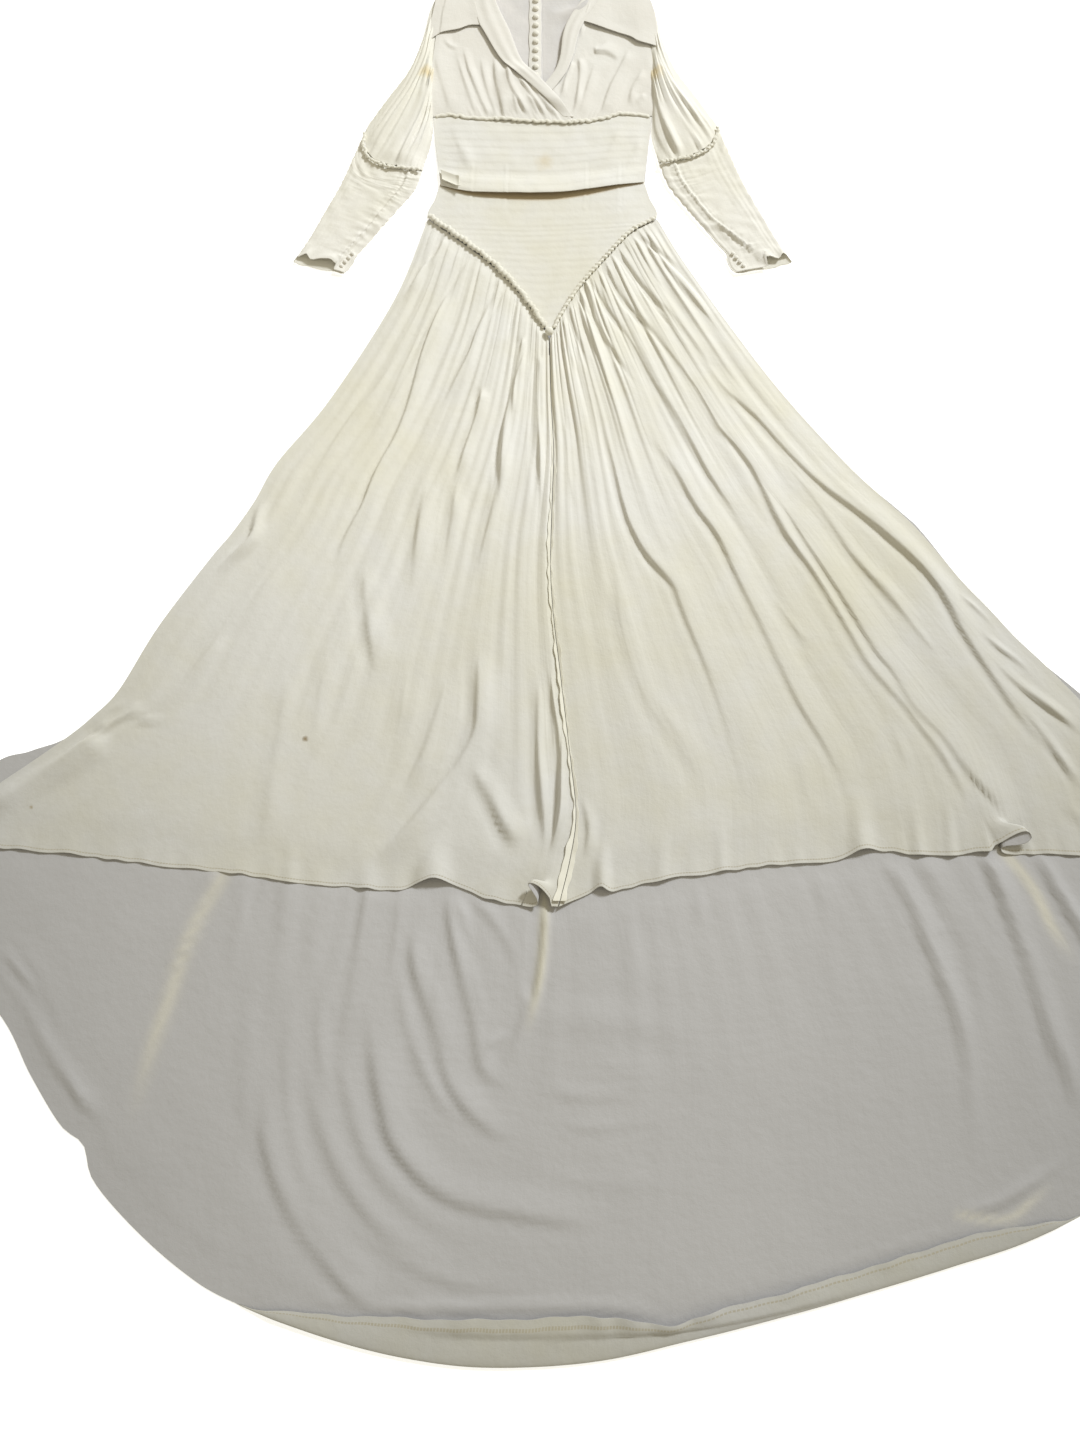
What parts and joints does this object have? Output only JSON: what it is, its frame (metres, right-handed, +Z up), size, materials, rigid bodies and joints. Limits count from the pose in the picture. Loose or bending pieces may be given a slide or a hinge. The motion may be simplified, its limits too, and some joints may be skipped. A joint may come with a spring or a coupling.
{
  "type": "evening gown",
  "caption": "Long ivory crepe evening gown with a train, laid flat on its back: crossover bodice with collar, tucked midriff, pointed basque, gathered skirt and gathered long sleeves",
  "frame": {"origin": "on the surface that the gown lies on, under the middle of its length and width", "axes": "+X to the viewer's right across the gown, +Y from the train's hem to the neck, +Z up out of the front panels"},
  "size_m": [1.7173, 2.1306, 0.0226],
  "materials": {
    "ivory_crepe": "soft matt rayon crepe, warm ivory, faintly yellowed in places",
    "crepe_inside": "inner face of the crepe, cooler and greyer, matt",
    "cream_trim": "ruched and gathered edges of the same crepe, yellowed",
    "covered_button": "domed buttons covered in the crepe"
  },
  "bodies": {
    "root": {"bodice_front_left": "ivory_crepe", "bodice_front_right": "ivory_crepe", "neck_band_left": "ivory_crepe", "neck_band_right": "ivory_crepe", "collar_left": "ivory_crepe", "collar_right": "ivory_crepe", "collar_back": "ivory_crepe", "midriff_front": "ivory_crepe", "basque_front": "ivory_crepe", "skirt_front_left": "ivory_crepe", "skirt_front_right": "ivory_crepe", "sleeve_upper_left": "ivory_crepe", "sleeve_upper_right": "ivory_crepe", "sleeve_lower_left": "ivory_crepe", "sleeve_lower_right": "ivory_crepe", "skirt_back": "crepe_inside", "bodice_back_left": "crepe_inside", "bodice_back_right": "crepe_inside", "basque_back_left": "crepe_inside", "basque_back_right": "crepe_inside", "back_placket": "crepe_inside", "underbust_frill": "cream_trim", "elbow_frill_left": "cream_trim", "elbow_frill_right": "cream_trim", "seam_piping_left": "cream_trim", "seam_piping_right": "cream_trim", "front_seam_left": "cream_trim", "front_seam_right": "cream_trim", "point_knot": "cream_trim", "waist_tab": "cream_trim", "back_button_1": "covered_button", "back_button_2": "covered_button", "back_button_3": "covered_button", "back_button_4": "covered_button", "back_button_5": "covered_button", "back_button_6": "covered_button", "back_button_7": "covered_button", "back_button_8": "covered_button", "back_button_9": "covered_button", "back_button_10": "covered_button", "back_button_11": "covered_button", "cuff_button_left_1": "covered_button", "cuff_button_left_2": "covered_button", "cuff_button_left_3": "covered_button", "cuff_button_left_4": "covered_button", "cuff_button_right_1": "covered_button", "cuff_button_right_2": "covered_button", "cuff_button_right_3": "covered_button", "cuff_button_right_4": "covered_button"}
  },
  "joints": []
}
